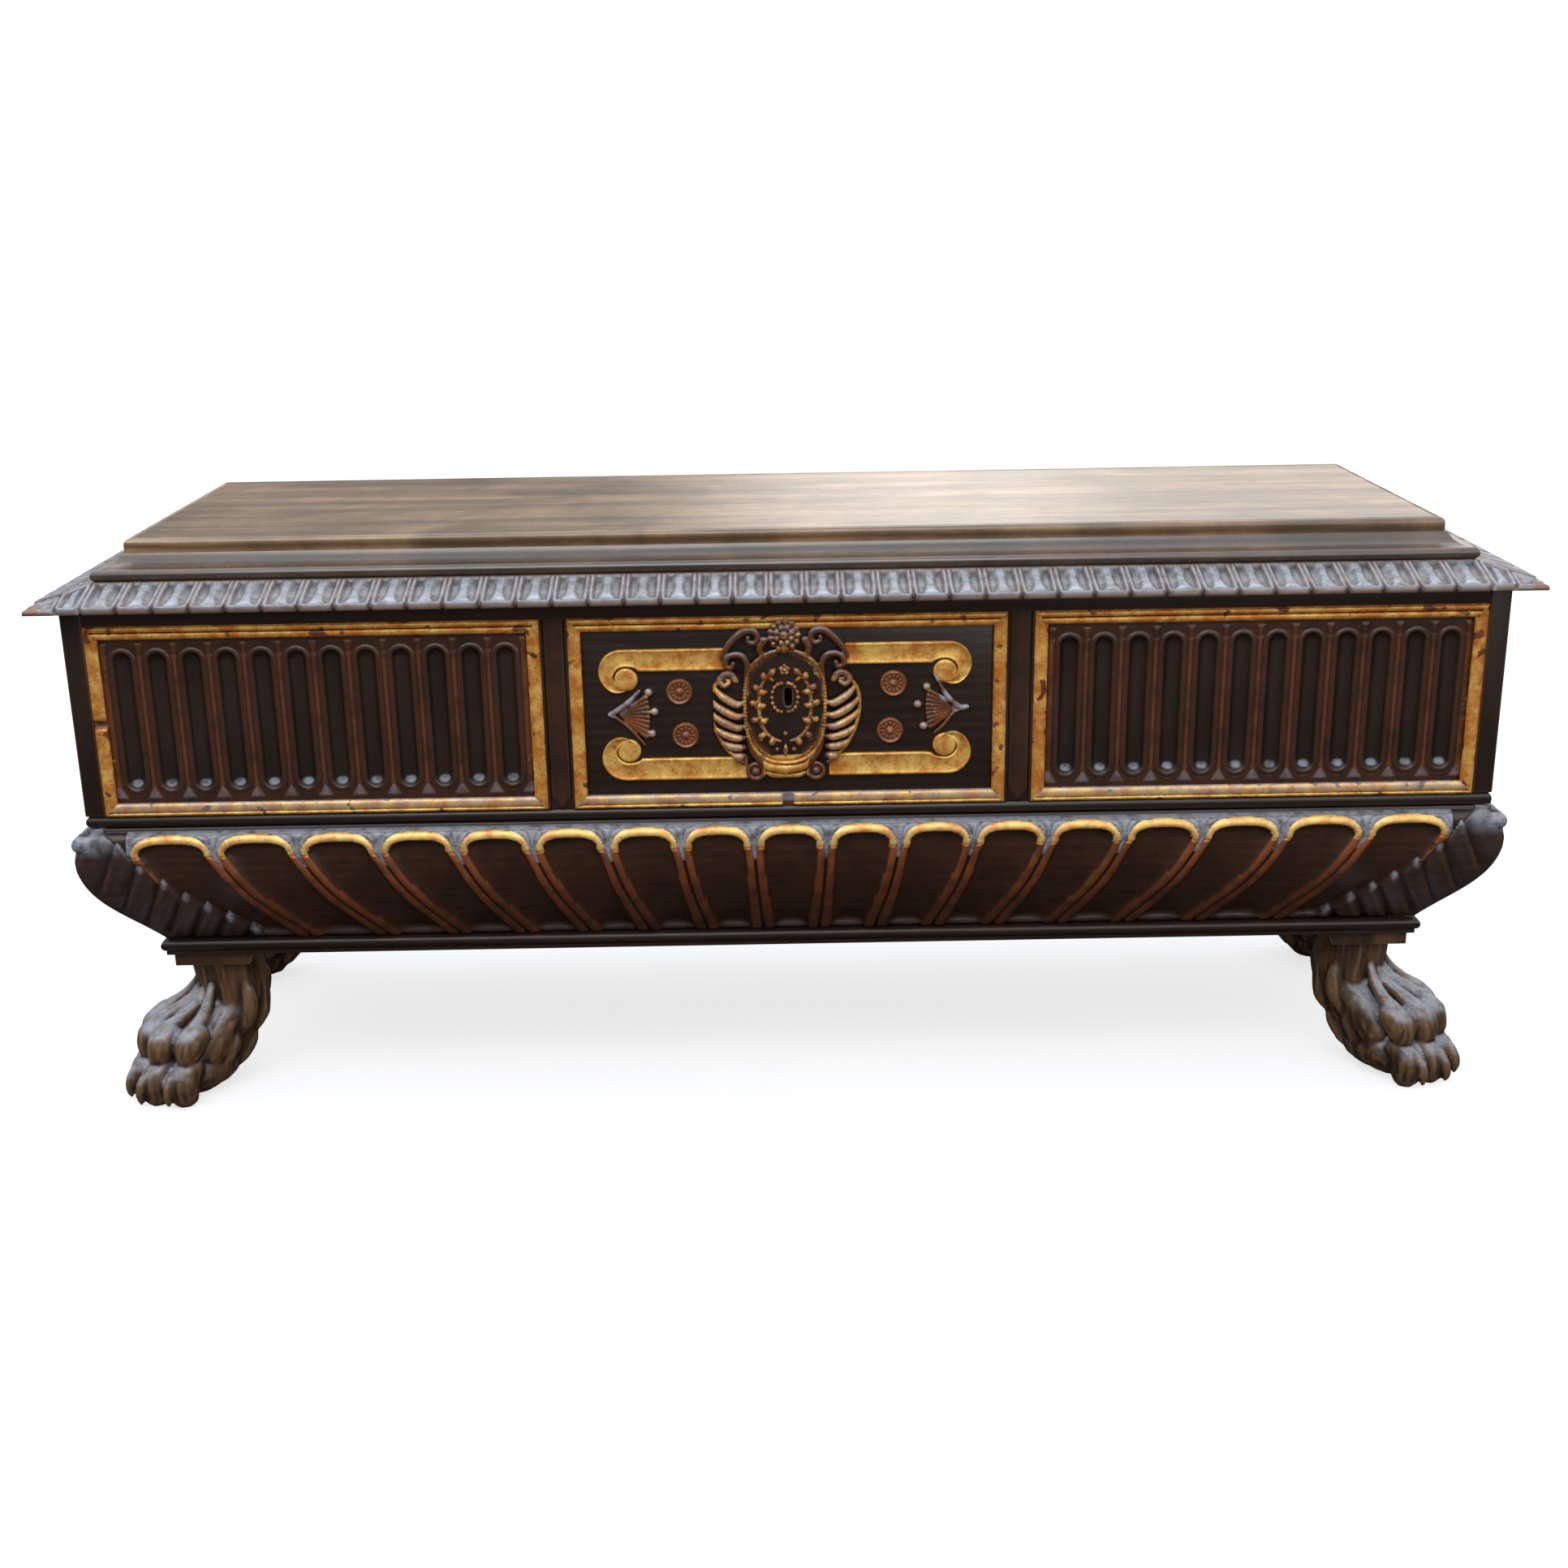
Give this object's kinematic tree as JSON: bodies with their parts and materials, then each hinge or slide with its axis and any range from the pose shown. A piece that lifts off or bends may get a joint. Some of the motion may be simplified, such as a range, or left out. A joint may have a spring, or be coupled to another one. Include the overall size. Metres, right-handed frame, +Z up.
{
  "type": "cassone",
  "caption": "Long walnut chest on paw feet with a gadrooned belly, gilded and fluted front panels, a carved cartouche with keyhole, an iron lock and a stepped hinged lid",
  "frame": {"origin": "on the floor, under the middle of the outer box", "axes": "+X along the chest to the right as seen from its front, +Y from the front to the back, +Z up"},
  "size_m": [1.762, 0.5474, 0.722],
  "materials": {
    "dark_walnut": "dark stained and waxed walnut, worn at the edges",
    "carved_walnut": "dark carved walnut with a grey waxed bloom",
    "lid_walnut": "mid brown walnut, polished, with a grey bloom",
    "foot_walnut": "worn brown walnut",
    "plain_walnut": "unpolished walnut of the back and inside",
    "gilding": "worn water gilding over carved wood",
    "iron": "blackened wrought iron"
  },
  "bodies": {
    "case": {"front_board": "dark_walnut", "side_board_left": "dark_walnut", "side_board_right": "dark_walnut", "corner_posts": "dark_walnut", "frieze_rail": "dark_walnut", "waist_moulding": "dark_walnut", "mid_stile_left": "dark_walnut", "mid_stile_right": "dark_walnut", "fluted_panel_front_left": "dark_walnut", "fluted_panel_front_right": "dark_walnut", "fluted_panel_side_left": "dark_walnut", "fluted_panel_side_right": "dark_walnut", "centre_panel": "dark_walnut", "belly_board_front": "dark_walnut", "belly_board_left": "dark_walnut", "belly_board_right": "dark_walnut", "base_moulding_front": "dark_walnut", "base_moulding_left": "dark_walnut", "base_moulding_right": "dark_walnut", "back_board": "plain_walnut", "floor_board": "plain_walnut", "base_rail_back": "plain_walnut", "foot_block_front_left": "foot_walnut", "foot_block_front_right": "foot_walnut", "foot_block_rear_left": "foot_walnut", "foot_block_rear_right": "foot_walnut", "paw_front_left": "foot_walnut", "paw_front_right": "foot_walnut", "paw_rear_left": "foot_walnut", "paw_rear_right": "foot_walnut", "gilt_moulding_front_left": "gilding", "gilt_moulding_front_centre": "gilding", "gilt_moulding_front_right": "gilding", "gilt_moulding_side_left": "gilding", "gilt_moulding_side_right": "gilding", "strapwork_left": "gilding", "strapwork_right": "gilding", "cartouche": "carved_walnut", "rosettes": "carved_walnut", "palmette_left": "carved_walnut", "palmette_right": "carved_walnut", "hinge_case_leaf_left": "iron", "hinge_case_leaf_right": "iron", "hinge_pins": "iron", "case_screws": "iron", "lock_plate": "iron", "lock_cover": "iron"},
    "lid": {"lid_edge_front": "carved_walnut", "lid_edge_left": "carved_walnut", "lid_edge_right": "carved_walnut", "lid_step_moulding": "lid_walnut", "lid_top_board": "lid_walnut", "lid_back_rail": "plain_walnut", "lid_battens": "plain_walnut", "hinge_lid_leaf_left": "iron", "hinge_lid_leaf_right": "iron", "lid_hinge_screws": "iron", "lid_staple": "iron"},
    "lock_bolt": {"lock_bolt": "iron"}
  },
  "joints": [
    {"name": "lid_hinge", "type": "hinge", "parent": "case", "child": "lid", "pos_m": [0, 0.2677, 0.652], "axis": [-1, 0, 0], "range_deg": [0, 100]},
    {"name": "lock_bolt_slide", "type": "slide", "parent": "case", "child": "lock_bolt", "axis": [1, 0, 0], "range_m": [0, 0.02]}
  ]
}
